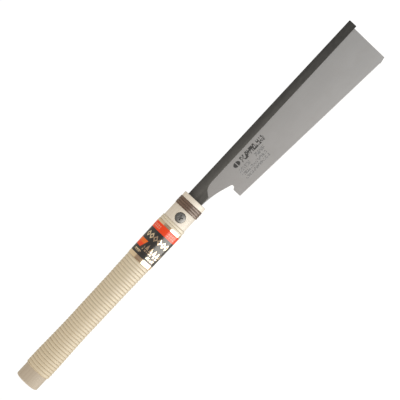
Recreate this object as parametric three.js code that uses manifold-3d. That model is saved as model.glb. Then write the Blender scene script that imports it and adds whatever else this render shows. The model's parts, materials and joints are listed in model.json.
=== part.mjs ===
// A Japanese back saw (dozuki) with a replaceable blade.
//
// Frame, in millimetres: +X runs along the handle and the blade's back towards the toe, +Z is up
// through the back, so the teeth face -Z, and the blade lies in the plane y = 0. The origin is the
// centre of the butt's end face. The clamp screw's head is on the -Y side.

import * as THREE from 'three';
import { mergeVertices } from 'three/addons/utils/BufferGeometryUtils.js';
import Module from 'manifold-3d';

const wasm = await Module();
wasm.setup();

// ---- Driving dimensions ----

// Handle: an oval that is thinner than it is tall by OVAL_DIFFERENCE at every station.
const HANDLE_LENGTH = 261.3;
const OVAL_DIFFERENCE = 5.6;
const BUTT_HEIGHT = 27.5;
const BUTT_ROUNDING = 1.6;
const HEAD_HEIGHT = 28.9;
const MOUTH_CHAMFER = 0.6;

// Rattan grip: one strand wound in a left-hand helix between two shoulders of the handle.
const GRIP_START = 17.1;
const GRIP_END = 228.5;
const GRIP_TURNS = 56;
const STRAND_GAP = 0.16;
const STRAND_CROWN_WIDTH = 2.0;
const STRAND_THICKNESS = 1.5;
const GRIP_END_GAP = 0.15;
const SEAT_CLEARANCE = 0.34;
const SEAT_RING_SPACING = 13;
// [x, half height of the wound grip]: fuller at the butt, waisted, then swelling to the head
const GRIP_STATIONS = [
  [17.1, 14.8],
  [31, 14.85],
  [41, 14.6],
  [60, 14.15],
  [80, 13.95],
  [100, 14.1],
  [120, 14.2],
  [140, 14.3],
  [160, 14.6],
  [175, 14.8],
  [195, 14.95],
  [210, 15.1],
  [221, 15.2],
  [230, 15.25],
];

// Foil label, a sleeve over the rattan
const LABEL_START = 174.0;
const LABEL_END = 222.6;
const LABEL_CLEARANCE = 0.06;
const LABEL_THICKNESS = 0.16;
const LABEL_STATIONS = 8;

// Binding near the mouth: three turns of flat cord in a shallow groove
const BINDING_START = 246.0;
const BINDING_END = 255.6;
const BINDING_TURNS = 3;
const BINDING_DEPTH = 0.5;
const CORD_THICKNESS = 0.95;
const CORD_CLEARANCE = 0.06;
const CORD_GAP = 0.1;
const CORD_CROWN_NARROWER = 0.8;

// Saw cut that makes the two clamping jaws
const KERF_WIDTH = 2.8;
const KERF_DEPTH = 36.6;

// Clamp screw and its sleeve nut, on one axis along Y
const SCREW_X = 237.0;
const SCREW_Z = -1.0;
const HEAD_RADIUS = 5.75;
const HEAD_RIM = 0.7;
const HEAD_DOME = 1.5;
const HEAD_EDGE_BREAK = 0.15;
const HEAD_GAP = 0.05;
const SEAT_FROM_MIDDLE = 9.6;
const SPOT_FACE_RADIUS = 6.0;
const SHANK_RADIUS = 2.45;
const SHANK_BORE_RADIUS = 2.8;
const SHANK_TIP = 8.6;
const RECESS_LENGTH = 6.6;
const RECESS_WIDTH = 1.35;
const RECESS_DEPTH = 1.7;
const RECESS_TAPER = 0.4;
const RECESS_ANGLE = -18;
const SLEEVE_RADIUS = 3.6;
const SLEEVE_BORE_RADIUS = 2.7;
const SLEEVE_INNER_END = 1.9;
const SLEEVE_BORE_END = 9.2;
const NECK_WIDTH = 7.6;
const NECK_LENGTH = 3.2;
const POCKET_CLEARANCE = 0.2;

// Back: one folded steel strip, whose rear end is the tang
const BACK_THICKNESS = 2.4;
const BACK_TOP = 10.15;
const BACK_BOTTOM = 0.45;
const BACK_TOE = 510.4;
const TOE_TOP_CORNER = 1.0;
const TOE_BOTTOM_CORNER = 0.8;
const BACK_EDGE_ROUNDING = 0.35;
const TANG_REAR = 227.0;
const TANG_BOTTOM = -8.4;
const TANG_SHOULDER = 272.3;
const TANG_CORNER = 2.5;
const SHOULDER_BREAK = [0.8, 0.2];
const BACK_START = 287.9;
// control points of the S-curve from the back's lower edge down to the tang's shoulder
const S_CURVE_TOP = [279.2, 0.45];
const S_CURVE_BOTTOM = [276.6, -1.9];
const NOTCH_RADIUS = 2.75;
const FOLD_WALL = 1.25;
const FOLD_GAP = 0.24;

// Blade plate
const PLATE_THICKNESS = 0.2;
const PLATE_TOP = 8.6;
const TONGUE_REAR = 248.8;
const TONGUE_BOTTOM = -8.2;
const TONGUE_END_GAP = 0.4;
const NECK_START = [262.0, -8.75];
const NECK_BEND = [275.9, -9.75];
const NECK_STRAIGHT = [286.8, -13.2];
const HEEL_NOTCH = [297.2, -18.8];
const HEEL_NOTCH_RADIUS = 2.17;
const HEEL_NOTCH_FROM = 70;
const HEEL_NOTCH_TO = -70;
const HEEL_NOTCH_LEAD = 0.95;
const HEEL = [296.3, -31.8];
const TOOTH_LINE_END = [499.4, -44.7];
const TOE_CORNER = [506.6, -43.35];
const TOE_TOP_X = 507.5;
const TOOTH_PITCH = 1.05;
const TOOTH_DEPTH = 0.85;
const TOOTH_LEAN = 0.3;

const RING_SEGMENTS = 32;
const STRAND_STEPS_PER_TURN = 16;
const CORD_STEPS_PER_TURN = 32;
const SMALL_SEGMENTS = 24;
const CURVE_SEGMENTS = 12;
// how far a cutter reaches past what it cuts, and a joined solid into its neighbour
const CUTTER_REACH = 30;
const JOIN_DEPTH = 0.4;

// ---- Geometry helpers ----

// A closed mesh with shared vertices, no collapsed triangles, and its faces pointing out.
function closed(geometry) {
  const bare = geometry.clone();
  bare.deleteAttribute('normal');
  bare.deleteAttribute('uv');
  const merged = mergeVertices(bare, 1e-5);
  const position = merged.attributes.position;
  const corner = (i) => new THREE.Vector3().fromBufferAttribute(position, i);
  const triangles = [];
  let volume = 0;
  for (let i = 0; i < merged.index.count; i += 3) {
    const [a, b, c] = [0, 1, 2].map((k) => merged.index.getX(i + k));
    if (a === b || b === c || c === a) continue;
    triangles.push([a, b, c]);
    volume += corner(a).dot(corner(b).cross(corner(c)));
  }
  const order = volume < 0 ? [0, 2, 1] : [0, 1, 2];
  merged.setIndex(triangles.flatMap((triangle) => order.map((k) => triangle[k])));
  return merged;
}

function toSolid(geometry) {
  const mesh = closed(geometry);
  return new wasm.Manifold(new wasm.Mesh({
    numProp: 3,
    vertProperties: new Float32Array(mesh.attributes.position.array),
    triVerts: new Uint32Array(mesh.index.array),
  }));
}

function toGeometry(solid) {
  const mesh = solid.getMesh();
  const geometry = new THREE.BufferGeometry();
  geometry.setAttribute('position', new THREE.BufferAttribute(mesh.vertProperties, 3));
  geometry.setIndex(new THREE.BufferAttribute(mesh.triVerts, 1));
  return geometry;
}

function cut(body, ...tools) {
  return toGeometry(tools.reduce((solid, tool) => solid.subtract(toSolid(tool)), toSolid(body)));
}

function join(...bodies) {
  return toGeometry(bodies.map(toSolid).reduce((solid, other) => solid.add(other)));
}

// Turns a profile of [x, half height] pairs about the handle's axis, then thins it to the oval.
function oval(profile) {
  const points = profile.map(([x, height]) => new THREE.Vector2(height, x));
  const geometry = new THREE.LatheGeometry(points, RING_SEGMENTS);
  geometry.rotateZ(-Math.PI / 2);
  const position = geometry.attributes.position;
  for (let i = 0; i < position.count; i += 1) {
    const radius = Math.hypot(position.getY(i), position.getZ(i));
    if (radius > OVAL_DIFFERENCE / 2) {
      position.setY(i, position.getY(i) * (1 - OVAL_DIFFERENCE / 2 / radius));
    }
  }
  return geometry;
}

// A cylinder or dome turned about the screw's axis, from [distance along +Y, radius] pairs.
function turned(profile) {
  const points = profile.map(([y, radius]) => new THREE.Vector2(radius, y));
  return new THREE.LatheGeometry(points, SMALL_SEGMENTS).translate(SCREW_X, 0, SCREW_Z);
}

function rod(radius, from, to) {
  return turned([[from, 0], [from, radius], [to, radius], [to, 0]]);
}

function box(from, to) {
  const size = to.map((value, k) => value - from[k]);
  const middle = to.map((value, k) => (value + from[k]) / 2);
  return new THREE.BoxGeometry(...size).translate(...middle);
}

// Extrudes an outline drawn in the XZ plane to a sheet centred on y = 0.
function sheet(outline, thickness, rounding = 0) {
  const geometry = new THREE.ExtrudeGeometry(outline, {
    depth: thickness - 2 * rounding,
    curveSegments: CURVE_SEGMENTS,
    bevelEnabled: rounding > 0,
    bevelThickness: rounding,
    bevelSize: rounding,
    bevelOffset: -rounding,
    bevelSegments: 2,
  });
  geometry.rotateX(Math.PI / 2);
  geometry.computeBoundingBox();
  const { min, max } = geometry.boundingBox;
  return geometry.translate(0, -(min.y + max.y) / 2, 0);
}

// A helix round the oval. Turn 0 starts at the bottom and climbs over the -Y side to the top.
class OvalHelix extends THREE.Curve {
  constructor({ start, pitch, turns, halfHeight, startAngle = -Math.PI / 2 }) {
    super();
    Object.assign(this, { start, pitch, turns, halfHeight, startAngle });
  }

  at(t) {
    const angle = this.startAngle + 2 * Math.PI * this.turns * t;
    const x = this.start + this.pitch * this.turns * t;
    const tall = this.halfHeight(x);
    const wide = tall - OVAL_DIFFERENCE / 2;
    return {
      point: new THREE.Vector3(x, -wide * Math.cos(angle), tall * Math.sin(angle)),
      outward: new THREE.Vector3(0, -tall * Math.cos(angle), wide * Math.sin(angle)).normalize(),
    };
  }

  getPoint(t) {
    return this.at(t).point;
  }

  getSpacedPoints(steps) {
    return Array.from({ length: steps + 1 }, (_, i) => this.at(i / steps).point);
  }

  // The section keeps one attitude: its first direction points outwards and its second along X.
  computeFrenetFrames(steps) {
    const normals = Array.from({ length: steps + 1 }, (_, i) => this.at(i / steps).outward);
    const binormals = normals.map(() => new THREE.Vector3(1, 0, 0));
    const tangents = normals.map((n) => new THREE.Vector3(1, 0, 0).cross(n));
    return { tangents, normals, binormals };
  }
}

// A strand with a flat base and a narrower crown, wound along a helix.
function wound(path, stepsPerTurn, width, crownWidth, thickness) {
  const section = new THREE.Shape([
    new THREE.Vector2(0, -width / 2),
    new THREE.Vector2(thickness, -crownWidth / 2),
    new THREE.Vector2(thickness, crownWidth / 2),
    new THREE.Vector2(0, width / 2),
  ]);
  return new THREE.ExtrudeGeometry(section, {
    steps: Math.round(path.turns * stepsPerTurn),
    extrudePath: path,
  });
}

// Smooth curve through the grip stations: the half height over the strand's crown.
function gripHalfHeight(x) {
  const last = GRIP_STATIONS.length - 2;
  let i = 0;
  while (i < last && x > GRIP_STATIONS[i + 1][0]) i += 1;
  const slope = (k) => {
    const [x0, r0] = GRIP_STATIONS[Math.max(k - 1, 0)];
    const [x1, r1] = GRIP_STATIONS[Math.min(k + 1, last + 1)];
    return (r1 - r0) / (x1 - x0);
  };
  const [x0, r0] = GRIP_STATIONS[i];
  const [x1, r1] = GRIP_STATIONS[i + 1];
  const span = x1 - x0;
  const t = THREE.MathUtils.clamp((x - x0) / span, 0, 1);
  const bend0 = slope(i) * span - (r1 - r0);
  const bend1 = (r1 - r0) - slope(i + 1) * span;
  return r0 + (r1 - r0) * t + t * (1 - t) * ((1 - t) * bend0 + t * bend1);
}

// ---- Pieces ----

function handleCore() {
  const butt = BUTT_HEIGHT / 2;
  const head = HEAD_HEIGHT / 2;
  const seat = (x) => gripHalfHeight(x) - STRAND_THICKNESS - SEAT_CLEARANCE;
  const profile = [[0, 0], [0, butt - BUTT_ROUNDING]];
  for (const angle of [30, 60, 90]) {
    const a = THREE.MathUtils.degToRad(angle);
    profile.push([
      BUTT_ROUNDING * (1 - Math.cos(a)),
      butt - BUTT_ROUNDING * (1 - Math.sin(a)),
    ]);
  }
  profile.push([GRIP_START, butt]);
  const rings = Math.round((GRIP_END - GRIP_START) / SEAT_RING_SPACING);
  for (let i = 0; i <= rings; i += 1) {
    const x = GRIP_START + (GRIP_END - GRIP_START) * (i / rings);
    profile.push([x, seat(x)]);
  }
  profile.push([GRIP_END, head], [BINDING_START, head]);
  profile.push([BINDING_START, head - BINDING_DEPTH], [BINDING_END, head - BINDING_DEPTH]);
  profile.push([BINDING_END, head], [HANDLE_LENGTH - MOUTH_CHAMFER, head]);
  profile.push([HANDLE_LENGTH, head - MOUTH_CHAMFER], [HANDLE_LENGTH, 0]);

  const past = CUTTER_REACH;
  const kerfEnd = HANDLE_LENGTH - KERF_DEPTH;
  const halfPocket = (NECK_WIDTH + POCKET_CLEARANCE) / 2;
  return cut(
    oval(profile),
    box([kerfEnd, -KERF_WIDTH / 2, -past], [HANDLE_LENGTH + past, KERF_WIDTH / 2, past]),
    rod(SHANK_BORE_RADIUS, -past, 0),
    rod(SLEEVE_RADIUS + POCKET_CLEARANCE, 0, past),
    box(
      [SCREW_X - halfPocket, SEAT_FROM_MIDDLE - NECK_LENGTH - POCKET_CLEARANCE, SCREW_Z - halfPocket],
      [SCREW_X + halfPocket, past, SCREW_Z + halfPocket],
    ),
    rod(SPOT_FACE_RADIUS, -past, -SEAT_FROM_MIDDLE),
    rod(SPOT_FACE_RADIUS, SEAT_FROM_MIDDLE, past),
  );
}

function gripWrap() {
  const room = GRIP_END - GRIP_START - 2 * GRIP_END_GAP;
  const pitch = (room + STRAND_GAP) / (GRIP_TURNS + 1);
  const width = pitch - STRAND_GAP;
  const path = new OvalHelix({
    start: GRIP_START + GRIP_END_GAP + width / 2,
    pitch,
    turns: GRIP_TURNS,
    halfHeight: (x) => gripHalfHeight(x) - STRAND_THICKNESS,
  });
  return wound(path, STRAND_STEPS_PER_TURN, width, STRAND_CROWN_WIDTH, STRAND_THICKNESS);
}

function foilLabel() {
  const inner = (x) => gripHalfHeight(x) + LABEL_CLEARANCE;
  const stations = Array.from({ length: LABEL_STATIONS }, (_, i) => (
    LABEL_START + (LABEL_END - LABEL_START) * (i / (LABEL_STATIONS - 1))
  ));
  const inside = stations.map((x) => [x, inner(x)]);
  const outside = stations.map((x) => [x, inner(x) + LABEL_THICKNESS]).reverse();
  return oval([...inside, ...outside, inside[0]]);
}

function bindingCord() {
  const room = BINDING_END - BINDING_START;
  const pitch = room / (BINDING_TURNS + 1);
  const path = new OvalHelix({
    start: BINDING_START + pitch / 2,
    pitch,
    turns: BINDING_TURNS,
    startAngle: Math.PI / 2,
    halfHeight: () => HEAD_HEIGHT / 2 - BINDING_DEPTH + CORD_CLEARANCE,
  });
  const width = pitch - CORD_GAP;
  return wound(path, CORD_STEPS_PER_TURN, width, width - CORD_CROWN_NARROWER, CORD_THICKNESS);
}

// Points over a low dome, from its rim at the seat to its crown.
function domeProfile() {
  const profile = [
    [0, HEAD_RADIUS - HEAD_EDGE_BREAK],
    [HEAD_EDGE_BREAK, HEAD_RADIUS],
    [HEAD_RIM, HEAD_RADIUS],
  ];
  for (const angle of [18, 36, 54, 72, 90]) {
    const a = THREE.MathUtils.degToRad(angle);
    profile.push([HEAD_RIM + HEAD_DOME * Math.sin(a), HEAD_RADIUS * Math.cos(a)]);
  }
  profile[profile.length - 1][1] = 0;
  return profile;
}

// One arm of the cross recess: a bar across the head that narrows towards its bottom.
function recessBar(turn) {
  const crown = SEAT_FROM_MIDDLE + HEAD_RIM + HEAD_DOME;
  const geometry = new THREE.BoxGeometry(RECESS_LENGTH, 2 * RECESS_DEPTH, RECESS_WIDTH);
  const position = geometry.attributes.position;
  for (let i = 0; i < position.count; i += 1) {
    const share = position.getY(i) > 0 ? 1 - RECESS_TAPER : 1 + RECESS_TAPER;
    position.setX(i, position.getX(i) * share);
    position.setZ(i, position.getZ(i) * share);
  }
  geometry.rotateY(THREE.MathUtils.degToRad(turn));
  return geometry.translate(SCREW_X, -crown, SCREW_Z);
}

function clampScrew() {
  const under = -SEAT_FROM_MIDDLE - HEAD_GAP;
  const dome = domeProfile().map(([y, radius]) => [under - y, radius]);
  const head = turned([[under, 0], ...dome]);
  const shank = rod(SHANK_RADIUS, under - JOIN_DEPTH, SHANK_TIP);
  return cut(join(head, shank), recessBar(RECESS_ANGLE), recessBar(RECESS_ANGLE + 90));
}

function sleeveNut() {
  const under = SEAT_FROM_MIDDLE + HEAD_GAP;
  const dome = domeProfile().map(([y, radius]) => [under + y, radius]);
  const head = turned([[under, 0], ...dome]);
  const sleeve = rod(SLEEVE_RADIUS, SLEEVE_INNER_END, under + JOIN_DEPTH);
  const half = NECK_WIDTH / 2;
  const neck = box(
    [SCREW_X - half, SEAT_FROM_MIDDLE - NECK_LENGTH, SCREW_Z - half],
    [SCREW_X + half, under + JOIN_DEPTH, SCREW_Z + half],
  );
  return cut(join(head, sleeve, neck), rod(SLEEVE_BORE_RADIUS, 0, SLEEVE_BORE_END));
}

function backOutline() {
  const shape = new THREE.Shape();
  shape.moveTo(TANG_REAR + TANG_CORNER, BACK_TOP);
  shape.lineTo(BACK_TOE - TOE_TOP_CORNER, BACK_TOP);
  shape.quadraticCurveTo(BACK_TOE, BACK_TOP, BACK_TOE, BACK_TOP - TOE_TOP_CORNER);
  shape.lineTo(BACK_TOE, BACK_BOTTOM + TOE_BOTTOM_CORNER);
  shape.quadraticCurveTo(BACK_TOE, BACK_BOTTOM, BACK_TOE - TOE_BOTTOM_CORNER, BACK_BOTTOM);
  shape.lineTo(BACK_START, BACK_BOTTOM);
  const [breakLength, breakHeight] = SHOULDER_BREAK;
  const shoulder = [TANG_SHOULDER, TANG_BOTTOM + breakHeight];
  shape.bezierCurveTo(...S_CURVE_TOP, ...S_CURVE_BOTTOM, ...shoulder);
  shape.lineTo(TANG_SHOULDER - breakLength, TANG_BOTTOM);
  shape.lineTo(TANG_REAR + TANG_CORNER, TANG_BOTTOM);
  shape.quadraticCurveTo(TANG_REAR, TANG_BOTTOM, TANG_REAR, TANG_BOTTOM + TANG_CORNER);
  shape.lineTo(TANG_REAR, SCREW_Z - NOTCH_RADIUS);
  shape.lineTo(SCREW_X, SCREW_Z - NOTCH_RADIUS);
  shape.absarc(SCREW_X, SCREW_Z, NOTCH_RADIUS, -Math.PI / 2, Math.PI / 2, false);
  shape.lineTo(TANG_REAR, SCREW_Z + NOTCH_RADIUS);
  shape.lineTo(TANG_REAR, BACK_TOP - TANG_CORNER);
  shape.quadraticCurveTo(TANG_REAR, BACK_TOP, TANG_REAR + TANG_CORNER, BACK_TOP);
  return shape;
}

function foldedBack() {
  const half = FOLD_GAP / 2;
  const slot = box(
    [TONGUE_REAR - TONGUE_END_GAP, -half, TANG_BOTTOM - CUTTER_REACH],
    [BACK_TOE + CUTTER_REACH, half, BACK_TOP - FOLD_WALL],
  );
  return cut(sheet(backOutline(), BACK_THICKNESS, BACK_EDGE_ROUNDING), slot);
}

function plateOutline() {
  const shape = new THREE.Shape();
  shape.moveTo(TONGUE_REAR, PLATE_TOP);
  shape.lineTo(TONGUE_REAR, TONGUE_BOTTOM);
  shape.lineTo(...NECK_START);
  shape.quadraticCurveTo(...NECK_BEND, ...NECK_STRAIGHT);
  const [from, to] = [HEEL_NOTCH_FROM, HEEL_NOTCH_TO].map(THREE.MathUtils.degToRad);
  shape.absarc(...HEEL_NOTCH, HEEL_NOTCH_RADIUS, from, to, true);
  const heel = new THREE.Vector2(...HEEL);
  shape.lineTo(heel.x, HEEL_NOTCH[1] - HEEL_NOTCH_RADIUS - HEEL_NOTCH_LEAD);
  shape.lineTo(heel.x, heel.y);

  // Teeth: a steep face towards the handle, because the saw cuts on the pull.
  const line = new THREE.Vector2(...TOOTH_LINE_END).sub(heel);
  const teeth = Math.floor(line.length() / TOOTH_PITCH);
  const step = line.clone().divideScalar(teeth);
  const gullet = new THREE.Vector2(-step.y, step.x).setLength(TOOTH_DEPTH);
  for (let i = 1; i < teeth; i += 1) {
    const root = heel.clone().addScaledVector(step, i);
    const tip = root.clone().addScaledVector(step, TOOTH_LEAN);
    shape.lineTo(root.x + gullet.x, root.y + gullet.y);
    shape.lineTo(tip.x, tip.y);
  }
  shape.lineTo(...TOOTH_LINE_END);
  shape.lineTo(...TOE_CORNER);
  shape.lineTo(TOE_TOP_X, PLATE_TOP);
  return shape;
}

// ---- Assembly ----

function piece(name, geometry, color, roughness, metalness) {
  const material = new THREE.MeshStandardMaterial({ color, roughness, metalness });
  const mesh = new THREE.Mesh(closed(geometry), material);
  mesh.name = name;
  return mesh;
}

const handle = new THREE.Group();
handle.add(
  piece('handle_core', handleCore(), 0xe6d9c0, 0.62, 0),
  piece('grip_wrap', gripWrap(), 0xd9c8a6, 0.5, 0),
  piece('foil_label', foilLabel(), 0x3c3734, 0.25, 0.4),
  piece('binding_cord', bindingCord(), 0x6e5a4e, 0.35, 0),
);

const blade = new THREE.Group();
blade.add(
  piece('blade_plate', sheet(plateOutline(), PLATE_THICKNESS), 0xa09d98, 0.38, 0.85),
  piece('folded_back', foldedBack(), 0x4a4a48, 0.42, 0.8),
);

const clamp = new THREE.Group();
clamp.add(
  piece('clamp_screw', clampScrew(), 0x66635f, 0.35, 0.85),
  piece('sleeve_nut', sleeveNut(), 0x66635f, 0.35, 0.85),
);

const saw = new THREE.Group();
saw.add(handle, blade, clamp);

export default saw;
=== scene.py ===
import json
import math

import bmesh
import bpy
import numpy as np
from mathutils import Matrix, Vector


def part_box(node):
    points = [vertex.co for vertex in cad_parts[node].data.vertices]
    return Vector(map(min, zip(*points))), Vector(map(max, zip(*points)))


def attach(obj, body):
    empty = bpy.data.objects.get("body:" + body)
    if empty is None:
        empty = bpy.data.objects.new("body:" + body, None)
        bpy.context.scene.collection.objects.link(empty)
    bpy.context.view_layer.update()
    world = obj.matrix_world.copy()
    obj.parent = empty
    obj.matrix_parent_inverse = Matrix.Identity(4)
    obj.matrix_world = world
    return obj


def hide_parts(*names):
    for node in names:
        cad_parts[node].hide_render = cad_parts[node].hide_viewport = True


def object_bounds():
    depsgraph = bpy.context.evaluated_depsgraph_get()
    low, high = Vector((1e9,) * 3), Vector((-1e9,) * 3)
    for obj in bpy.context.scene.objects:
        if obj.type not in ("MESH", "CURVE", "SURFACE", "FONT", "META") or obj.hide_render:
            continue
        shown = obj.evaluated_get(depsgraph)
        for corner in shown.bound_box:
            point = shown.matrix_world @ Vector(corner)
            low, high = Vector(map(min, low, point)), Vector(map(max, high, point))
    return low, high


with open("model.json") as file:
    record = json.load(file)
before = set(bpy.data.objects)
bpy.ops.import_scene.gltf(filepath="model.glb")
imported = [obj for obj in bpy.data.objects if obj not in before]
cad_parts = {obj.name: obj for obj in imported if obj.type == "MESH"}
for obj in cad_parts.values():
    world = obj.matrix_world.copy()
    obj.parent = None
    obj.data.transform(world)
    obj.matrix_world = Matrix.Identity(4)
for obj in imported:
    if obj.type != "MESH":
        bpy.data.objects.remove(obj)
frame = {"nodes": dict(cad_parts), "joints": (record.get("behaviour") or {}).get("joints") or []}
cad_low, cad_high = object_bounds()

# A Japanese back saw. Lengths below are millimetres unless a name says otherwise; meshes are built
# in millimetres and scaled once, in mesh_object(). +X runs to the toe, +Z through the back, and the
# side with the screw's head faces -Y.
MM = 0.001
X, Y, Z = 0, 1, 2


# ---------------------------------------------------------------- what the frame says

def points_of(node):
    """A CAD node's vertices in millimetres, one row each."""
    return np.array([v.co for v in frame["nodes"][node].data.vertices], float) / MM


def span(node, axis):
    """Lowest and highest coordinate of a CAD node along one axis, in millimetres."""
    low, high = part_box(node)
    return low[axis] / MM, high[axis] / MM


def crown_of(node, spacing):
    """x and half height over a node's outside, one sample for each length of spacing."""
    points = points_of(node)
    start, end = span(node, X)
    count = round((end - start) / spacing)
    cell = np.clip(((points[:, X] - start) / (end - start) * count).astype(int), 0, count - 1)
    xs = start + (np.arange(count) + 0.5) * (end - start) / count
    return xs, np.array([abs(points[cell == i, Z]).max() for i in range(count)])


def half_height(node, x_low, x_high):
    """Greatest half height of a CAD node between two stations, or just past them."""
    points = points_of(node)
    just_past = 2.0
    inside = (points[:, X] >= x_low - just_past) & (points[:, X] <= x_high + just_past)
    return abs(points[inside, Z]).max()


def joint_place(name):
    """Where a joint's axis passes, in millimetres."""
    joint = next(j for j in frame["joints"] if j["name"] == name)
    return np.array(joint["pos_m"]) / MM


# how much less the handle's half width is than its half height, at every station
label_low, label_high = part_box("foil_label")
OVAL = ((label_high - label_low)[Z] - (label_high - label_low)[Y]) / 2 / MM

# the wound grip: strand widths side by side along it, the gap between them, and the strand's seat
GRIP_START, GRIP_END = span("grip_wrap", X)
STRANDS_ALONG_GRIP = 57
STRAND_GAP = 0.16
STRAND_THICKNESS = 1.5
SEAT_CLEARANCE = 0.02
GRIP_PITCH = (GRIP_END - GRIP_START + STRAND_GAP) / STRANDS_ALONG_GRIP
GRIP_X, GRIP_HEIGHT = crown_of("grip_wrap", GRIP_PITCH)

# the handle's head: its half height, and the groove for the binding
HANDLE_END = span("handle_core", X)[1]
CORD_START, CORD_END = span("binding_cord", X)
HEAD_HEIGHT = half_height("handle_core", GRIP_END, CORD_START)
GROOVE_DEPTH = 0.5

# the domed heads of the screw and the nut: a straight rim below a low dome
SCREW = joint_place("screw_turn")
HEAD_RADIUS = (span("clamp_screw", X)[1] - span("clamp_screw", X)[0]) / 2
HEAD_RIM = 0.7
HEAD_DOME = 1.5
HEAD_RISE = HEAD_RIM + HEAD_DOME
THREAD_START = -1.0

# of the plate's rear end, only the heel of the toothed edge reaches below this
HEEL_BELOW = -25.0


def grip_height(x):
    """Half height of the wound grip over the strand's crown."""
    return np.interp(x, GRIP_X, GRIP_HEIGHT)


# ---------------------------------------------------------------- mesh helpers

def mesh_object(name, vertices, faces):
    """A new mesh from corners in millimetres."""
    mesh = bpy.data.meshes.new(name)
    mesh.from_pydata((np.asarray(vertices, float) * MM).tolist(), [], faces)
    mesh.validate()
    obj = bpy.data.objects.new(name, mesh)
    bpy.context.scene.collection.objects.link(obj)
    return obj


def grid_faces(rows, columns):
    """Quads over a grid of rows of points, each row closed into a ring."""
    return [
        (r * columns + c, r * columns + (c + 1) % columns,
         (r + 1) * columns + (c + 1) % columns, (r + 1) * columns + c)
        for r in range(rows - 1)
        for c in range(columns)
    ]


def lofted(name, rings):
    """Closed solid through rings that have the same number of points, with flat ends."""
    count = len(rings[0])
    last = (len(rings) - 1) * count
    faces = grid_faces(len(rings), count)
    faces.append(tuple(range(count - 1, -1, -1)))
    faces.append(tuple(range(last, last + count)))
    return outward(mesh_object(name, np.concatenate(rings), faces))


def oval_ring(x, height, count):
    """One ring of the handle's oval, from the bottom over the -Y side and round."""
    angle = np.arange(count) / count * 2 * math.pi - math.pi / 2
    wide = height - OVAL if height > 2 * OVAL else height / 2
    return np.column_stack([np.full(count, x), -wide * np.cos(angle), height * np.sin(angle)])


def oval_solid(name, profile, count=128):
    """Closed turned solid from [x, half height] stations, butt first."""
    return lofted(name, [oval_ring(x, height, count) for x, height in profile])


def turned(name, profile, radius_change=None, count=64):
    """Closed solid turned about the screw's axis, from [y, radius] pairs that begin and end on it."""
    angle = np.arange(count) / count * 2 * math.pi
    inner = profile[1:-1]
    rings = []
    for y, radius in inner:
        r = radius + (radius_change(y, angle) if radius_change else 0.0)
        rings.append(np.column_stack([
            SCREW[X] + r * np.cos(angle), np.full(count, y), SCREW[Z] + r * np.sin(angle),
        ]))
    ends = [[SCREW[X], profile[0][0], SCREW[Z]], [SCREW[X], profile[-1][0], SCREW[Z]]]
    vertices = np.vstack(rings + [ends])
    faces = grid_faces(len(rings), count)
    first, final = len(rings) * count, len(rings) * count + 1
    last = (len(rings) - 1) * count
    for c in range(count):
        n = (c + 1) % count
        faces.append((first, n, c))
        faces.append((final, last + c, last + n))
    return outward(mesh_object(name, vertices, faces))


def outward(obj):
    """Turns every face outwards."""
    bm = bmesh.new()
    bm.from_mesh(obj.data)
    bmesh.ops.recalc_face_normals(bm, faces=bm.faces)
    bm.to_mesh(obj.data)
    bm.free()
    return obj


def block(low, high, taper=1.0):
    """A box as a cutter; its +Y end is narrower by taper."""
    low, high = np.array(low, float), np.array(high, float)
    middle = (low + high) / 2
    corners = []
    for y in (low[Y], high[Y]):
        scale = taper if y == high[Y] else 1.0
        for x, z in ((low[X], low[Z]), (high[X], low[Z]), (high[X], high[Z]), (low[X], high[Z])):
            corners.append([
                middle[X] + (x - middle[X]) * scale, y, middle[Z] + (z - middle[Z]) * scale,
            ])
    faces = [(0, 1, 2, 3), (7, 6, 5, 4), (0, 4, 5, 1), (1, 5, 6, 2), (2, 6, 7, 3), (3, 7, 4, 0)]
    return outward(mesh_object("cutter", corners, faces))


def rod(radius, y_low, y_high):
    """A round bar about the screw's axis as a cutter."""
    return turned("cutter", [[y_low, 0], [y_low, radius], [y_high, radius], [y_high, 0]])


def combine(obj, others, operation="DIFFERENCE"):
    """Cuts or joins other solids with obj, one after another, and removes them."""
    for other in others:
        modifier = obj.modifiers.new("combine", "BOOLEAN")
        modifier.operation = operation
        modifier.solver = "EXACT"
        modifier.object = other
    bake_modifiers(obj)
    for other in others:
        bpy.data.objects.remove(other)
    return obj


def soften(obj, width, degrees=40, segments=2):
    """Breaks the edges that are sharper than the angle."""
    modifier = obj.modifiers.new("soften", "BEVEL")
    modifier.width = width * MM
    modifier.segments = segments
    modifier.limit_method = "ANGLE"
    modifier.angle_limit = math.radians(degrees)
    modifier.use_clamp_overlap = True
    bake_modifiers(obj)
    return obj


def bake_modifiers(obj):
    """Replaces an object's mesh with what its modifiers make of it."""
    graph = bpy.context.evaluated_depsgraph_get()
    mesh = bpy.data.meshes.new_from_object(obj.evaluated_get(graph))
    obj.modifiers.clear()
    obj.data = mesh
    mesh.name = obj.name


def finish_piece(obj, body, node, look, sharp_degrees):
    """Shades a piece, gives it its material, and puts it in its CAD node's place."""
    mesh = obj.data
    mesh.polygons.foreach_set("use_smooth", [True] * len(mesh.polygons))
    mesh.set_sharp_from_angle(angle=math.radians(sharp_degrees))
    mesh.materials.clear()
    mesh.materials.append(look)
    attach(obj, body)
    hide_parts(node)
    return obj


# ---------------------------------------------------------------- shader helpers

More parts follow.
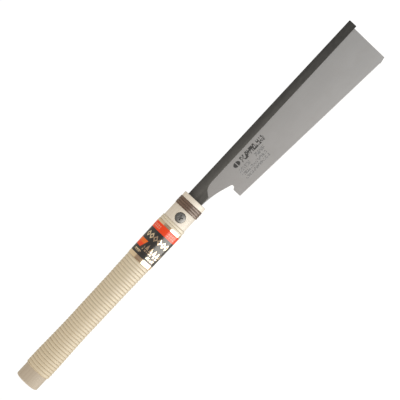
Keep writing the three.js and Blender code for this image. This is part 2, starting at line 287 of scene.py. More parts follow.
class Field:
    """A shader value that takes part in arithmetic, so a pattern reads as a formula."""

    def __init__(self, tree, socket):
        self.tree, self.socket = tree, socket

    def op(self, operation, *others):
        node = self.tree.nodes.new("ShaderNodeMath")
        node.operation = operation
        for slot, value in zip(node.inputs, (self, *others)):
            plug(self.tree, value, slot)
        return Field(self.tree, node.outputs[0])

    def __add__(self, other):
        return self.op("ADD", other)

    def __sub__(self, other):
        return self.op("SUBTRACT", other)

    def __mul__(self, other):
        return self.op("MULTIPLY", other)

    def __truediv__(self, other):
        return self.op("DIVIDE", other)

    def flipped(self):
        """1 minus the value."""
        return (self * -1.0) + 1.0

    def clamped(self):
        return self.op("MAXIMUM", 0.0).op("MINIMUM", 1.0)

    def above(self, edge, soft):
        """0 below an edge and 1 above it, with a soft step between."""
        return ((self - (edge - soft / 2)) / soft).clamped()

    def between(self, low, high, soft=0.15):
        return self.above(low, soft) * self.above(high, soft).flipped()


def plug(tree, value, slot):
    """Links a field to an input, or sets the input to a plain value."""
    if isinstance(value, Field):
        tree.links.new(value.socket, slot)
    else:
        slot.default_value = value


class Shader:
    """One material, or the world, with short ways to make its nodes."""

    def __init__(self, owner):
        owner.use_nodes = True
        self.tree = owner.node_tree
        self.tree.nodes.clear()

    def node(self, kind, inputs=None, **settings):
        node = self.tree.nodes.new("ShaderNode" + kind)
        for key, value in settings.items():
            setattr(node, key, value)
        for key, value in (inputs or {}).items():
            plug(self.tree, value, node.inputs[key])
        return node

    def field(self, node, output=0):
        return Field(self.tree, node.outputs[output])

    def place(self):
        """Object x, y and z in millimetres."""
        split = self.node("SeparateXYZ", {
            "Vector": self.field(self.node("TexCoord"), "Object"),
        })
        return [self.field(split, axis) * (1 / MM) for axis in range(3)]

    def attribute(self, name):
        return self.field(self.node("Attribute", attribute_name=name), "Fac")

    def vector(self, x, y, z):
        return self.field(self.node("CombineXYZ", {"X": x, "Y": y, "Z": z}))

    def noise(self, place, scale, detail=2.0, roughness=0.5):
        """Smooth noise about 0.5; scale is in cycles a millimetre for each of x, y and z."""
        x, y, z = [p * s for p, s in zip(place, scale)]
        return self.field(self.node("TexNoise", {
            "Vector": self.vector(x, y, z), "Scale": 1.0, "Detail": detail,
            "Roughness": roughness,
        }))

    def random(self, x, y):
        """One random number for each pair of whole numbers."""
        node = self.node("TexWhiteNoise", {"Vector": self.vector(x, y, 0.0)},
                         noise_dimensions="2D")
        return self.field(node)

    def mix(self, share, low, high):
        """low where share is 0, high where it is 1; both are colours or fields."""
        node = self.node("Mix", data_type="RGBA")
        plug(self.tree, share, node.inputs["Factor"])
        for value, slot in ((low, node.inputs[6]), (high, node.inputs[7])):
            plug(self.tree, colour(value), slot)
        return Field(self.tree, node.outputs[2])

    def bump(self, height, depth_mm, strength=1.0):
        """Normal from a height of 0 to 1 that stands for depth_mm."""
        return self.field(self.node("Bump", {
            "Height": height * (depth_mm * MM), "Distance": 1.0, "Strength": strength,
        }))

    def surface(self, **inputs):
        """Principled surface; underscores in a name stand for spaces."""
        named = {key.replace("_", " "): colour(value) for key, value in inputs.items()}
        shader = self.node("BsdfPrincipled", named)
        output = self.node("OutputMaterial")
        self.tree.links.new(shader.outputs[0], output.inputs["Surface"])


def colour(value):
    """Adds the fourth number that colour sockets want."""
    return (*value, 1.0) if isinstance(value, tuple) and len(value) == 3 else value


def material(name):
    """A new material, and the shader that fills it."""
    made = bpy.data.materials.new(name)
    return made, Shader(made)


# ---------------------------------------------------------------- materials

def growth_rings(s, place):
    """Growth rings about a pith that lies below the handle, 0 in early wood and 1 in late wood."""
    x, y, z = place
    pith_y, pith_z, spacing = 9.0, -42.0, 2.6
    wander = s.noise(place, (0.004, 0.02, 0.02), detail=1.0) * 9.0
    radius = ((y - pith_y) * (y - pith_y) + (z - pith_z) * (z - pith_z)).op("SQRT") + wander
    ring = (radius / spacing).op("FRACT")
    return ring.op("POWER", 2.2) * ring.above(0.97, 0.06).flipped()


def wood_material():
    """Pale fine-grained wood with pores, worn darker and duller at the butt."""
    made, s = material("pale_wood")
    place = s.place()
    x, y, z = place
    rings = growth_rings(s, place)
    fibre = s.noise(place, (0.05, 2.4, 2.4), detail=4.0, roughness=0.65)
    cloud = s.noise(place, (0.012, 0.09, 0.09), detail=2.0)
    pores = s.noise(place, (0.12, 4.5, 4.5), detail=1.0).above(0.67, 0.1)
    tone = rings * 0.45 + fibre * 0.5 + cloud * 0.5 - 0.35
    pale = s.mix(tone.clamped(), (0.91, 0.815, 0.68), (0.77, 0.655, 0.49))
    # the butt's bare end is handled more, and is darker and duller than the head
    butt = s.mix(tone.clamped(), (0.61, 0.51, 0.385), (0.49, 0.39, 0.285))
    past_butt = x.above(GRIP_START + 3.0, 1.0)
    shared = s.mix(past_butt, butt, pale)
    grained = s.mix(pores * 0.35, shared, (0.42, 0.31, 0.20))
    height = fibre * 0.6 + rings * 0.2 - pores * 0.5
    s.surface(
        Base_Color=grained, Roughness=fibre * 0.2 + 0.42,
        Specular_IOR_Level=past_butt * 0.55 + 0.2,
        Normal=s.bump(height, 0.05, 0.5),
    )
    return made


def rattan_material():
    """Split rattan: fine fibres along the strand, a shade that drifts, paler towards the head."""
    made, s = material("rattan")
    along, across = s.attribute("along"), s.attribute("across")
    track = [along, across, along * 0.0]
    fibre = s.noise(track, (0.06, 5.0, 0.0), detail=3.0, roughness=0.6)
    drift = s.noise(track, (0.012, 0.25, 0.0), detail=2.0)
    stain = s.noise(track, (0.04, 0.8, 0.0), detail=2.0).above(0.66, 0.2)
    # edge marks each turn's edges, where painted shade darkens the grooves between turns
    edge = across.op("ABSOLUTE").above(0.9, 0.5)
    tone = (fibre * 0.5 + drift * 0.8 - 0.15).clamped()
    skin = s.mix(tone, (0.79, 0.67, 0.485), (0.68, 0.545, 0.345))
    paler = (s.place()[X] / HANDLE_END).clamped()
    skin = s.mix(paler * 0.2 + paler.above(0.8, 0.2) * 0.35, skin, (0.93, 0.85, 0.68))
    marked = s.mix(stain * 0.08, skin, (0.52, 0.40, 0.23))
    # painted shade in the grooves between turns, less of it towards the head
    shaded = s.mix(edge * (paler * -0.14 + 0.12).clamped(), marked, (0.52, 0.41, 0.24))
    s.surface(
        Base_Color=shaded, Roughness=fibre * 0.15 + 0.40,
        Specular_IOR_Level=paler * 0.65 + 0.22, Normal=s.bump(fibre, 0.02, 0.15),
    )
    return made


def cord_material():
    """Brown stained flat cane with a polished crown; painted shade darkens its edges."""
    made, s = material("brown_cane")
    along, across = s.attribute("along"), s.attribute("across")
    track = [along, across, along * 0.0]
    fibre = s.noise(track, (0.12, 7.0, 0.0), detail=3.0, roughness=0.6)
    worn = s.noise(track, (0.1, 1.6, 0.0), detail=2.0).above(0.6, 0.3)
    edge = across.op("ABSOLUTE").above(0.85, 0.35)
    stained = s.mix(fibre, (0.225, 0.137, 0.090), (0.127, 0.073, 0.047))
    rubbed = s.mix(worn * 0.35, stained, (0.30, 0.20, 0.14))
    # painted shade: each turn darkens towards its edges, where the turns meet
    shaded = s.mix(edge * 0.7, rubbed, (0.05, 0.028, 0.018))
    s.surface(
        Base_Color=shaded, Roughness=fibre * 0.15 + 0.30, Specular_IOR_Level=0.5,
        Coat_Weight=0.15, Coat_Roughness=0.2, Normal=s.bump(fibre, 0.05, 0.6),
    )
    return made


def print_blocks(s, x, y, low, high, cell, seed, blank, lines):
    """Random blocks inside low..high: they read as a line of small print but spell nothing.

    cell is a block's width, blank the share of blocks left out, and lines the rows of blocks.
    """
    column = ((x - low[0]) / cell).op("FLOOR")
    line = ((y - low[1]) / ((high[1] - low[1]) / lines)).op("FLOOR")
    picked = s.random(column + seed, line).op("GREATER_THAN", blank)
    return x.between(low[0], high[0], 0.1) * y.between(low[1], high[1], 0.1) * picked


def plate_material():
    """Ground spring steel, satin, with lengthwise lines, dark etched blocks and a painted reflection
    towards the teeth.
    """
    made, s = material("plate_steel")
    place = s.place()
    x, y, z = place
    lines = s.noise(place, (0.02, 0.0, 5.0), detail=3.0, roughness=0.7)
    short = s.noise(place, (0.25, 0.0, 7.0), detail=2.0, roughness=0.6)
    cloud = s.noise(place, (0.025, 0.0, 0.04), detail=2.0)
    oil = s.noise(place, (0.09, 0.0, 0.11), detail=3.0).above(0.6, 0.25)
    teeth, top = span("blade_plate", Z)
    height = (z - teeth) / (top - teeth)
    neck, toe = span("blade_plate", X)
    towards_toe = ((x - neck) / (toe - neck)).above(0.78, 0.4)
    # height adds a painted reflection: the steel is lighter towards the teeth and darker towards the
    # back; towards_toe darkens it near the toe
    tone = lines * 0.6 + cloud * 0.7 + height * 1.3 + towards_toe * 0.35 - 0.86
    steel = s.mix(tone.clamped(), (0.91, 0.905, 0.90), (0.76, 0.757, 0.753))
    steel = s.mix(oil * 0.10, steel, (0.66, 0.635, 0.60))
    # only the side with the screw's head is etched
    etched = etching(s, x, z) * y.above(0.0, 0.05).flipped()
    inked = s.mix(etched * 0.95, steel, (0.05, 0.048, 0.045))
    s.surface(
        Base_Color=inked, Metallic=etched * -0.7 + 0.85,
        Specular_IOR_Level=etched * -0.3 + 0.5,
        Roughness=lines * 0.12 + short * 0.06 + oil * 0.03 + etched * 0.2 + 0.27,
        Anisotropic=0.35, Normal=s.bump(lines * 0.6 + short * 0.4, 0.008, 0.35),
    )
    return made


def heel_x():
    """x of the toothed edge's end nearest the handle."""
    points = points_of("blade_plate")
    return points[points[:, Z] < HEEL_BELOW][:, X].min()


def etching(s, x, z):
    """Generic marks by the neck: a plain split disc and lines of blocks, no lettering."""
    x = x - heel_x()
    disc_x, disc_z, half_long, half_tall = 22.0, -6.3, 4.4, 2.9
    across, upward = (x - disc_x) / half_long, (z - disc_z) / half_tall
    disc = (across * across + upward * upward).above(1.0, 0.2).flipped()
    marks = disc * (x - disc_x).op("ABSOLUTE").above(0.45, 0.3)
    # low corner, high corner, block width, seed, share left blank, rows of blocks, darkness
    rows = [
        ((28.2, -9.8), (62.9, -3.3), 0.8, 5.0, 0.44, 4, 1.0),
        ((18.2, -16.0), (33.8, -11.8), 0.9, 57.0, 0.46, 4, 0.5),
        ((42.3, -16.0), (55.7, -11.8), 0.9, 91.0, 0.42, 4, 0.6),
        ((18.2, -20.6), (53.7, -17.4), 0.9, 23.0, 0.5, 3, 0.62),
        ((18.2, -25.0), (53.7, -22.0), 0.9, 77.0, 0.5, 3, 0.6),
    ]
    for low, high, cell, seed, blank, lines, darkness in rows:
        marks = marks + print_blocks(s, x, z, low, high, cell, seed, blank, lines) * darkness
    return marks.clamped()


def back_material():
    """Blackened folded steel, rubbed a little along its top edge, where a painted highlight lies too.
    """
    made, s = material("black_steel")
    place = s.place()
    x, y, z = place
    mottle = s.noise(place, (0.18, 0.18, 0.3), detail=4.0, roughness=0.6)
    lines = s.noise(place, (0.03, 3.0, 4.0), detail=2.0)
    top = span("folded_back", Z)[1]
    # in patches along the rounded top edge: rubbed wear and a painted highlight
    edge_rub_and_highlight = z.above(top - 0.35, 0.4) * s.noise(place, (0.3, 0.5, 0.5), detail=3.0).above(0.5, 0.2)
    dark = s.mix((mottle * 1.2 - 0.1).clamped(), (0.036, 0.035, 0.034), (0.063, 0.061, 0.057))
    # the blacking is paler towards the tang
    rear, toe = span("folded_back", X)
    nearer_tang = ((x - rear) / (toe - rear)).flipped().clamped()
    dark = s.mix(nearer_tang * 0.36, dark, (0.105, 0.10, 0.093))
    # worn also carries the painted highlight on the top edge
    worn = s.mix(edge_rub_and_highlight * 0.4, dark, (0.16, 0.155, 0.145))
    s.surface(
        Base_Color=worn, Metallic=0.55, Roughness=mottle * 0.2 + lines * 0.08 + 0.34,
        Specular_IOR_Level=0.35, Normal=s.bump(mottle * 0.7 + lines * 0.3, 0.02, 0.4),
    )
    return made


def screw_material():
    """Dark oxide steel with fine turned rings and scuffs."""
    made, s = material("oxide_steel")
    place = s.place()
    x, y, z = place
    radius = ((x - SCREW[X]) * (x - SCREW[X]) + (z - SCREW[Z]) * (z - SCREW[Z])).op("SQRT")
    turned_lines = s.noise([radius, radius * 0.0, radius * 0.0], (5.0, 0.0, 0.0), detail=2.0)
    scuff = s.noise(place, (0.7, 0.7, 2.2), detail=4.0, roughness=0.65)
    bright = scuff.above(0.60, 0.12)
    dark = s.mix(scuff, (0.138, 0.137, 0.135), (0.214, 0.212, 0.210))
    rubbed = s.mix(bright * 0.4, dark, (0.33, 0.325, 0.32))
    s.surface(
        Base_Color=rubbed, Metallic=0.85, Roughness=scuff * 0.2 + 0.42,
        Normal=s.bump(turned_lines * 0.4 + scuff * 0.6, 0.03, 0.5),
    )
    return made


def label_material():
    """Printed metallised film: bare foil ends, a black panel, a red band and plain shapes."""
    made, s = material("printed_foil")
    x, y, z = s.place()
    along = x - span("foil_label", X)[0]
    # length round the sleeve from the middle of either side, + towards the back of the saw
    half_tall, half_wide, mean_radius = 15.0, 12.2, 13.5
    around = (z / half_tall).op("ARCTAN2", y.op("ABSOLUTE") / half_wide) * mean_radius

    def row(low, high, start, end):
        return along.between(low, high, 0.15) * around.between(start, end, 0.3)

    def cell(pitch):
        """Distance from the middle of a cell round the sleeve, 0 to 1 at the cell's edge."""
        return ((around / pitch).op("FRACT") - 0.5).op("ABSOLUTE") * 2.0

    black = along.between(4.6, 36.9, 0.2)
    red = along.between(36.9, 45.5, 0.2)
    patch = along.between(12.7, 22.1, 0.2) * (around + along * 0.366).above(14.1, 0.3)
    orange = along.above(17.5, 1.5)

    from_middle = (along - 29.3).op("ABSOLUTE") / 3.9 + cell(4.9)
    lozenges = from_middle.above(0.98, 0.1).flipped() * from_middle.above(0.46, 0.1)
    lozenges = lozenges * row(25.4, 33.2, -14.7, 14.7)
    points = (cell(4.4) + (along - 14.4) / 7.6).above(0.82, 0.1).flipped()
    points = points * row(14.4, 22.0, -16.5, 5.6)
    upper = print_blocks(s, around, along, (5.0, 7.2), (13.4, 9.8), 0.8, 17.0, 0.34, 3)
    lower = print_blocks(s, around, along, (-12.4, 7.2), (-2.6, 9.8), 0.8, 29.0, 0.52, 3)
    fine = print_blocks(s, around, along, (-14.6, 11.7), (7.0, 13.4), 0.9, 43.0, 0.35, 1)
    bare = (lozenges + points + upper + lower + fine).clamped() * black * patch.flipped()
    dots = cell(2.6).above(0.62, 0.15).flipped()
    pale = dots * (row(39.0, 40.6, 6.4, 14.8) + row(41.4, 42.9, 6.4, 14.8)
                   + row(38.8, 40.4, -13.4, -3.4) + row(41.2, 43.0, -13.4, -3.4))

    ink = (black + red).clamped() * bare.flipped()
    metal = s.mix(ink, (0.95, 0.765, 0.56), (0.035, 0.031, 0.028))
    reds = s.mix(orange * patch, (0.99, 0.064, 0.006), (0.99, 0.18, 0.014))
    pigment = s.mix(pale.clamped() * 0.5, reds, (0.90, 0.62, 0.46))
    coloured = (red + patch * black).clamped()
    ripple = s.noise([x, y, z], (0.06, 0.12, 0.12), detail=1.0)
    s.surface(
        Base_Color=s.mix(coloured, metal, pigment), Metallic=ink.flipped(),
        Roughness=ink * 0.06 + 0.16, Specular_IOR_Level=coloured * -0.2 + 0.72,
        Normal=s.bump(ripple, 0.3, 0.2),
    )
    return made


# ---------------------------------------------------------------- pieces

def handle_profile():
    """Stations of the wooden core: rounded butt, wrapped length, head with the binding's groove."""
    end_play, rounding, chamfer = 0.15, 1.9, 0.7
    seat_start, seat_end = GRIP_START - end_play, GRIP_END + end_play
    butt = half_height("handle_core", 0.0, seat_start)
    head = HEAD_HEIGHT
    groove = head - GROOVE_DEPTH
    stations = [[0.0, butt - rounding]]
    for angle in np.radians(np.arange(10, 91, 10)):
        stations.append([rounding * (1 - math.cos(angle)), butt - rounding * (1 - math.sin(angle))])
    # each shoulder has its edge broken
    stations += [[seat_start - 0.25, butt], [seat_start, butt - 0.2]]
    for x in np.linspace(seat_start, seat_end, 40):
        stations.append([x, grip_height(x) - STRAND_THICKNESS - SEAT_CLEARANCE])
    stations += [[seat_end, head - 0.25], [seat_end + 0.3, head]]
    stations += [[CORD_START - 0.3, head], [CORD_START - 0.1, head - 0.12]]
    stations += [[CORD_START - 0.05, groove], [CORD_END + 0.05, groove]]
    stations += [[CORD_END + 0.1, head - 0.12], [CORD_END + 0.3, head]]
    for angle in np.radians([0, 25, 45, 65, 90]):
        stations.append([
            HANDLE_END - chamfer * (1 - math.sin(angle)), head - chamfer * (1 - math.cos(angle)),
        ])
    return stations


def build_handle(wood):
    """The core with its kerf, the bores for the screw and the sleeve, and the nut's pocket."""
    handle = oval_solid("handle_wood", handle_profile())
    kerf_start = span("folded_back", X)[0] - 2.0
    half_kerf, half_pocket, pocket_depth = 1.4, 3.9, 3.4
    screw_bore, sleeve_bore, spot_face = 2.8, 3.8, HEAD_RADIUS + 0.25
    seat = span("clamp_screw", Y)[0] + HEAD_RISE + 0.05
    far = 30.0
    handle = combine(handle, [
        block([kerf_start, -half_kerf, -far], [HANDLE_END + far, half_kerf, far]),
        rod(screw_bore, -far, 0.0),
        rod(sleeve_bore, 0.0, far),
        block([SCREW[X] - half_pocket, -seat - pocket_depth, SCREW[Z] - half_pocket],
              [SCREW[X] + half_pocket, far, SCREW[Z] + half_pocket]),
        rod(spot_face, -far, seat),
        rod(spot_face, -seat, far),
    ])
    soften(handle, 0.22)
    return finish_piece(handle, "handle", "handle_core", wood, 35)


def wound_strand(name, start, end, pitch, width, thickness, base, steps, crown, seed, loose=0.0):
    """A strand that fills the length from one shoulder to the other as a left-hand helix.

    Its first and last turns run out flush against the shoulders. base(x) is the half height that
    it lies on, and crown the share of its thickness left at the edges.
    """
    turns = (end - start) / pitch + 1
    count = round(turns * steps)
    turn = np.linspace(0.02, turns - 0.02, count)
    random = np.random.default_rng(seed)
    knots = np.arange(0, turns + 1, 0.4)
    wander = np.interp(turn, knots, random.uniform(-1, 1, len(knots))) * loose
    fullness = 1 + np.interp(turn, knots, random.uniform(-1, 1, len(knots))) * loose * 0.35
    left = np.clip(start + pitch * (turn - 1) + (pitch - width) / 2 + wander, start, end)
    right = np.clip(start + pitch * (turn - 1) + (pitch + width) / 2 + wander, start, end)
    right = np.maximum(right, left + 0.05)
    share = (right - left) / width
    lift = thickness * fullness * np.clip(share * 2.5, 0.05, 1)
    angle = -math.pi / 2 + 2 * math.pi * turn

    across = np.array([-0.98, -1.0, -0.97, -0.86, -0.66, -0.36, 0.0, 0.36, 0.66, 0.86, 0.97, 1.0, 0.98])
    rise = crown + (1 - crown) * (1 - np.abs(across) ** 2.2)
    rise[[0, -1]] = 0.0
    rise[[1, -2]] = crown * 0.5
    rise[[2, -3]] = crown * 0.95
    middle, half = (left + right) / 2, (right - left) / 2
    x = middle[:, None] + half[:, None] * across[None, :]
    tall = base(middle)[:, None]
    wide = tall - OVAL
    cosine, sine = np.cos(angle)[:, None], np.sin(angle)[:, None]
    normal = np.hypot(tall * cosine, wide * sine)
    out = lift[:, None] * rise[None, :]
    y = -wide * cosine - tall * cosine / normal * out
    z = tall * sine + wide * sine / normal * out
    strand = lofted(name, np.stack([x, y, z], axis=-1))
    length = turn * 2 * math.pi * float(np.mean(tall) - OVAL / 2)
    write_attribute(strand, "along", np.repeat(length, len(across)))
    write_attribute(strand, "across", (share[:, None] * across[None, :]).ravel())
    return strand


def write_attribute(obj, name, values):
    """Stores one number at each of an object's corners, for its material to read."""
    attribute = obj.data.attributes.new(name, "FLOAT", "POINT")
    attribute.data.foreach_set("value", np.asarray(values, np.float32))


def build_grip(rattan):
    """One rattan strand from the butt's shoulder to the head's."""
    strand = wound_strand(
        "rattan_strand", GRIP_START - 0.12, GRIP_END + 0.1, GRIP_PITCH, GRIP_PITCH * 0.985,
        STRAND_THICKNESS, lambda x: grip_height(x) - STRAND_THICKNESS,
        steps=64, crown=0.67, seed=7, loose=0.018,
    )
    return finish_piece(strand, "handle", "grip_wrap", rattan, 60)


def build_binding(cane):
    """Flat cane in the head's groove, a little over three turns."""
    pitch = (CORD_END - CORD_START) / 3.35
    strand = wound_strand(
        "binding_strand", CORD_START, CORD_END, pitch, pitch * 0.98, 1.0,
        lambda x: np.full(np.shape(x), HEAD_HEIGHT - GROOVE_DEPTH),
        steps=96, crown=0.66, seed=3, loose=0.02,
    )
    return finish_piece(strand, "handle", "binding_cord", cane, 60)


def build_label(foil):
    """A film sleeve drawn over the strand, dipping very slightly between its turns."""
    start, end = span("foil_label", X)
    count, stations = 160, 120
    film, dip, clearance = 0.16, 0.035, 0.05
    xs = np.linspace(start, end, stations)
    angle = np.arange(count) / count * 2 * math.pi - math.pi / 2
    rings = []
    for inside in (False, True):
        for x in (xs[::-1] if inside else xs):
            turns = (x - GRIP_START) / GRIP_PITCH - angle / (2 * math.pi) - 0.25
            valley = np.cos(2 * math.pi * turns)
            height = grip_height(x) + clearance - dip * (valley * 0.5 + 0.5)
            height = height + (0.0 if inside else film)
            rings.append(np.column_stack([
                np.full(count, x), -(height - OVAL) * np.cos(angle), height * np.sin(angle),
            ]))
    faces = grid_faces(len(rings), count)
    last = (len(rings) - 1) * count
    faces += [(last + c, last + (c + 1) % count, (c + 1) % count, c) for c in range(count)]
    sleeve = outward(mesh_object("foil_sleeve", np.vstack(rings), faces))
    return finish_piece(sleeve, "handle", "foil_label", foil, 50)


def dome_profile(seat, away):
    """[y, radius] from the seat's edge over a low dome to the crown; away is -1 or +1."""
    radius, broken_edge = HEAD_RADIUS, 0.18
    points = [[seat, radius - broken_edge], [seat + away * broken_edge, radius]]
    points.append([seat + away * (HEAD_RIM - 0.1), radius])
    for angle in np.radians(np.arange(6, 90, 7)):
        rise = HEAD_RIM + HEAD_DOME * math.sin(angle)
        points.append([seat + away * rise, radius * math.cos(angle)])
    points.append([seat + away * HEAD_RISE, 0.0])
    return points


def thread(y, angle):
    """Depth of a metric thread's groove at a place along the shank, as a change of radius."""
    pitch, depth = 0.8, 0.4
    if y < THREAD_START:
        return np.zeros_like(angle)
    phase = (y / pitch - angle / (2 * math.pi)) % 1.0
    return -depth * np.abs(phase - 0.5) * 2


def build_screw(oxide):
    """The screw: a domed head with a tapered cross recess, a plain neck and a thread."""
    crown, tip = span("clamp_screw", Y)
    seat = crown + HEAD_RISE
    shank, fillet, step = 2.45, 0.25, 0.1
    arm_length, arm_width, recess_depth = 7.8, 1.44, 1.7
    head = dome_profile(seat, -1)[::-1]
    body = [[seat, shank + fillet], [seat + fillet, shank], [THREAD_START - step / 2, shank]]
    body += [[y, shank] for y in np.arange(THREAD_START + step / 2, tip - 0.6, step)]
    body += [[tip, shank - 0.55], [tip, 0.0]]
    screw = turned("screw_domed", head + body, radius_change=thread)
    arms = []
    for turn in (-18.0, 72.0):
        arm = block([-arm_length / 2, crown - 1.0, -arm_width / 2],
                    [arm_length / 2, crown + recess_depth, arm_width / 2], taper=0.5)
        arm.data.transform(Matrix.Rotation(math.radians(turn), 4, "Y"))
        arm.data.transform(Matrix.Translation((SCREW[X] * MM, 0, SCREW[Z] * MM)))
        arms.append(arm)
    combine(screw, arms)
    soften(screw, 0.1, degrees=45)
    return finish_piece(screw, "screw", "clamp_screw", oxide, 40)


def build_nut(oxide):
    """The nut: a plain dome, a square neck that can't turn in the wood, and a bored sleeve."""
    inner, crown = span("sleeve_nut", Y)
    seat = crown - HEAD_RISE
    sleeve, bore, bore_end = 3.6, 2.7, seat - 0.25
    half_neck, neck_depth = 3.8, 3.2
    profile = dome_profile(seat, 1)[::-1]
    profile += [[seat, sleeve], [inner + 0.2, sleeve], [inner, sleeve - 0.2]]
    profile += [[inner, bore + 0.25], [inner + 0.25, bore], [bore_end, bore], [bore_end + 0.6, 0.0]]
    nut = turned("nut_domed", profile)
    square = block([SCREW[X] - half_neck, seat - neck_depth, SCREW[Z] - half_neck],
                   [SCREW[X] + half_neck, seat + 0.3, SCREW[Z] + half_neck])
    hole = rod(sleeve - 0.05, seat - 2 * neck_depth, seat - 0.15)
    combine(square, [hole])
    combine(nut, [square], "UNION")
    soften(nut, 0.1, degrees=45)
    return finish_piece(nut, "nut", "sleeve_nut", oxide, 40)


def outline_of(node, y):
    """The CAD node's outline in the plane at one y, as x and z in order round the loop."""
    mesh = frame["nodes"][node].data
    corner_of = [tuple(round(c / MM, 3) for c in v.co) for v in mesh.vertices]
    sides = {}
    for polygon in mesh.polygons:
        corners = [corner_of[i] for i in polygon.vertices]
        level = [abs(corner[Y] - y) < 0.02 for corner in corners]
        for i, corner in enumerate(corners):
            if level[i] and level[i - 1] and corner != corners[i - 1]:
                sides.setdefault(frozenset((corner, corners[i - 1])), []).append(all(level))
    following = {}
    for pair, flats in sides.items():
        # an edge between two faces that lie in the plane is inside the outline
        if not all(flats):
            a, b = pair
            following.setdefault(a, []).append(b)
            following.setdefault(b, []).append(a)
    loop = [min(following)]
    previous, here = loop[0], following[loop[0]][0]
    while here != loop[0]:
        loop.append(here)
        previous, here = here, next(p for p in following[here] if p != previous)
    return np.array([[corner[X], corner[Z]] for corner in loop])


def counterclockwise(loop):
    """The same loop of x and z, in counterclockwise order."""
    x, z = loop[:, 0], loop[:, 1]
    area = np.sum(x * np.roll(z, -1) - np.roll(x, -1) * z)
    return loop if area > 0 else loop[::-1]


def left_of(steps):
    """Unit vectors at right angles to each step, to its left."""
    return np.column_stack([-steps[:, 1], steps[:, 0]]) / np.linalg.norm(steps, axis=1)[:, None]


def inset(loop, distance):
    """A counterclockwise loop moved inwards by a distance, with mitred corners."""
    first = left_of(loop - np.roll(loop, 1, axis=0))
    second = left_of(np.roll(loop, -1, axis=0) - loop)
    middle = first + second
    middle /= np.linalg.norm(middle, axis=1)[:, None]
    stretch = np.clip(1 / np.sum(middle * first, axis=1), 1, 1.6)
    return loop + middle * (distance * stretch)[:, None]


def build_back(black):
    """The folded strip: rounded edges all round its outline, and the fold's gap for the plate."""
    low, high = span("folded_back", Y)
    rounding, steps = 0.35, 5
    half_gap, wall, past = 0.12, 1.25, 5.0
    outline = counterclockwise(outline_of("folded_back", low + rounding))
    rings = []
    for side in (-1, 1):
        angles = np.linspace(0, math.pi / 2, steps)
        for angle in (angles[::-1] if side < 0 else angles):
            loop = inset(outline, rounding * (1 - math.cos(angle)))
            y = side * (high - rounding * (1 - math.sin(angle)))
            rings.append(np.column_stack([loop[:, 0], np.full(len(loop), y), loop[:, 1]]))
    back = lofted("steel_back", rings)
    gap_start, gap_end = span("blade_plate", X)[0] - 0.4, span("folded_back", X)[1] + past
    bottom, top = span("folded_back", Z)
    combine(back, [block([gap_start, -half_gap, bottom - past], [gap_end, half_gap, top - wall])])
    return finish_piece(back, "blade", "folded_back", black, 30)


def tooth_tips(loop):
    """Which points of the plate's outline are the tips of teeth."""
    below_notch = loop[(loop[:, 1] < HEEL_BELOW) & (loop[:, 0] < loop[:, 0].mean())]
    # the rearmost point there, and the upper one where two are level
    heel = below_notch[np.argmin(below_notch[:, 0] - below_notch[:, 1] * 0.01)]
    lowest = loop[np.argmin(loop[:, 1])]
    length = np.linalg.norm(lowest - heel)
    line = (lowest - heel) / length
    up = np.array([-line[1], line[0]])
    offset = (loop - heel) @ up
    along = (loop - heel) @ line
    return (along > 0.2) & (along < length - 0.2) & (offset < 0.1)


def build_plate(steel):
    """The toothed plate: its outline from the frame, with set and bevelled teeth."""
    half = span("blade_plate", Y)[1]
    loop = counterclockwise(outline_of("blade_plate", -half))
    tips = tooth_tips(loop)
    body = loop[~tips]
    count = len(body)

    set_out, bevel = 0.05, 0.30
    vertices = [[x, -half, z] for x, z in body] + [[x, half, z] for x, z in body]
    faces = [tuple(range(count - 1, -1, -1)), tuple(range(count, 2 * count))]
    place = {tuple(p): i for i, p in enumerate(body.tolist())}
    edge_taken = set()
    total = len(loop)
    number = 0
    for i in np.nonzero(tips)[0]:
        root_a, tip, root_b = loop[(i - 1) % total], loop[i], loop[(i + 1) % total]
        a, b = place[tuple(root_a.tolist())], place[tuple(root_b.tolist())]
        side = 1 if number % 2 else -1
        number += 1
        sharp, blunt = tip, tip + (((root_a + root_b) / 2) - tip) * bevel
        near, far = (blunt, sharp) if side > 0 else (sharp, blunt)
        first = len(vertices)
        shift = side * set_out
        vertices += [[near[0], -half + shift, near[1]], [far[0], half + shift, far[1]]]
        near_i, far_i = first, first + 1
        faces += [(a, b, near_i), (count + b, count + a, far_i)]
        faces += [(a, near_i, far_i, count + a), (near_i, b, count + b, far_i)]
        edge_taken.add((a, b))
    for a in range(count):
        b = (a + 1) % count
        if (a, b) not in edge_taken:
            faces.append((a, b, count + b, count + a))
    plate = outward(mesh_object("saw_plate", vertices, faces))
    return finish_piece(plate, "blade", "blade_plate", steel, 5)


# ---------------------------------------------------------------- stage

def build_floor():
    """A plain white floor that only the camera sees, so that it takes no part in the lighting."""
    size, drop = 30.0, 0.16
    low = cad_low[Z] - drop
    corners = [(-size, -size), (size, -size), (size, size), (-size, size)]
    mesh = bpy.data.meshes.new("floor")
    mesh.from_pydata([(x, y, low) for x, y in corners], [], [(0, 1, 2, 3)])
    floor = bpy.data.objects.new("floor", mesh)
    bpy.context.scene.collection.objects.link(floor)
    for kind in ("diffuse", "glossy", "transmission", "volume_scatter", "shadow"):
        setattr(floor, "visible_" + kind, False)
    made, s = material("floor_white")
    s.surface(Base_Color=(0.9, 0.9, 0.9), Roughness=0.9, Specular_IOR_Level=0.0,
              Emission_Color=(1.0, 1.0, 1.0), Emission_Strength=0.52)
    mesh.materials.append(made)


# degrees below the camera's line of sight: where the dark gap round the camera starts, where the
# gap ends and the softbox's first panel starts, where its second starts, and where that ends
GAP_ABOVE = -42.0
SOFTBOX_BELOW = (18.2, 62.0, 104.0)


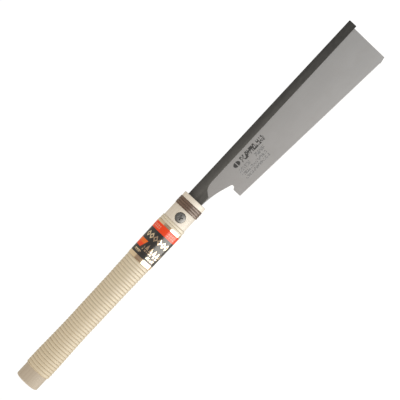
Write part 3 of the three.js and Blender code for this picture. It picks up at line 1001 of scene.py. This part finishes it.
def build_world():
    """A white studio that shows matt and glossy surfaces different things.

    Matt surfaces see a soft light, stronger from below and from the butt's side. Glossy ones see
    pale walls, with a dark gap where the camera stands; both are warmer on the butt's side.
    """
    world = bpy.data.worlds.new("studio")
    bpy.context.scene.world = world
    s = Shader(world)
    split = s.node("SeparateXYZ", {"Vector": s.field(s.node("TexCoord"), "Generated")})
    x, y, z = [s.field(split, axis) for axis in range(3)]
    below_camera = (z * -1.0).op("ARCTAN2", y * -1.0) * (180 / math.pi)
    gap = below_camera.between(GAP_ABOVE, SOFTBOX_BELOW[0], 8.0)
    warm = x.between(-0.5, -0.02, 0.03)
    camera_gap = s.mix(warm, (0.385, 0.387, 0.383), (0.295, 0.235, 0.195))
    camera_gap = s.mix(x.above(0.15, 0.12), camera_gap, (0.362, 0.367, 0.366))
    walls = s.mix(warm, (0.46, 0.45, 0.43), (0.64, 0.60, 0.50))
    glossy = s.mix(gap, walls, camera_gap)
    level = z * -0.22 + x * -0.42 + 0.84
    tint = s.mix(z * 0.5 + 0.5, (1.0, 1.02, 1.04), (1.0, 0.965, 0.92))
    matt = s.field(s.node("VectorMath", {0: tint, "Scale": level}, operation="SCALE"))
    rays = s.node("LightPath")
    seen = s.mix(s.field(rays, "Is Glossy Ray"), matt, glossy)
    lit = s.node("Background", {"Color": seen, "Strength": 1.0})
    white = s.node("Background", {"Color": (1.0, 1.0, 1.0, 1.0), "Strength": 1.05})
    either = s.node("MixShader", {"Fac": s.field(rays, "Is Camera Ray")})
    s.tree.links.new(lit.outputs[0], either.inputs[1])
    s.tree.links.new(white.outputs[0], either.inputs[2])
    s.tree.links.new(either.outputs[0], s.node("OutputWorld").inputs["Surface"])
    # without this the light sampler would not tell matt rays from glossy ones
    world.cycles.sampling_method = "NONE"


def build_softbox(unlit):
    """A wide softbox low in front, as two flat panels that only glossy surfaces see.

    The unlit piece doesn't see it: as flat as a mirror, it would turn as white as the floor.
    """
    # metres, but for the radiance; reach is from the saw's middle to the panels' edges
    reach, length, towards_butt, radiance = 2.0, 2.4, 0.3, 5.0
    receivers = bpy.data.collections.new("softbox_receivers")
    receivers.objects.link(unlit)
    receivers.collection_objects[0].light_linking.link_state = "EXCLUDE"
    middle = (cad_low[X] + cad_high[X]) / 2 - towards_butt
    angles = np.radians(SOFTBOX_BELOW)
    edges = [Vector((0, -math.cos(a), -math.sin(a))) * reach for a in angles]
    for upper, lower in zip(edges, edges[1:]):
        centre, height = (upper + lower) / 2, (upper - lower).length
        lamp = bpy.data.lights.new("softbox", "AREA")
        lamp.shape = "RECTANGLE"
        lamp.size, lamp.size_y = length, height
        lamp.energy = math.pi * length * height * radiance
        lamp.color = (1.0, 0.965, 0.90)
        panel = bpy.data.objects.new("softbox", lamp)
        right, back = Vector((1, 0, 0)), centre.normalized()
        turn = Matrix((right, back.cross(right), back)).transposed().to_4x4()
        panel.matrix_world = Matrix.Translation(centre + right * middle) @ turn
        for kind in ("camera", "diffuse", "transmission", "volume_scatter"):
            setattr(panel, "visible_" + kind, False)
        panel.light_linking.receiver_collection = receivers
        bpy.context.scene.collection.objects.link(panel)


def build_camera():
    """Square on to the saw's side from 1.27 m, rolled so that the toe points up and to the right."""
    distance, lens, roll = 1.27, 108.6, math.radians(47.07)
    aim = (cad_low + cad_high) / 2 + Vector((0.0093, 0.0, 0.0112))
    right = Vector((math.cos(roll), 0, -math.sin(roll)))
    up = Vector((math.sin(roll), 0, math.cos(roll)))
    back = right.cross(up)
    camera = bpy.data.objects.new("camera", bpy.data.cameras.new("camera"))
    turn = Matrix((right, up, back)).transposed().to_4x4()
    camera.matrix_world = Matrix.Translation(aim + back * distance) @ turn
    camera.data.lens = lens
    camera.data.sensor_width = 36.0
    bpy.context.scene.collection.objects.link(camera)
    bpy.context.scene.camera = camera


# ---------------------------------------------------------------- scene

wood = wood_material()
oxide = screw_material()
build_handle(wood)
build_grip(rattan_material())
build_label(label_material())
build_binding(cord_material())
build_back(back_material())
plate = build_plate(plate_material())
build_screw(oxide)
build_nut(oxide)
build_floor()
build_world()
build_softbox(plate)
build_camera()
bpy.context.scene.view_settings.view_transform = "Standard"
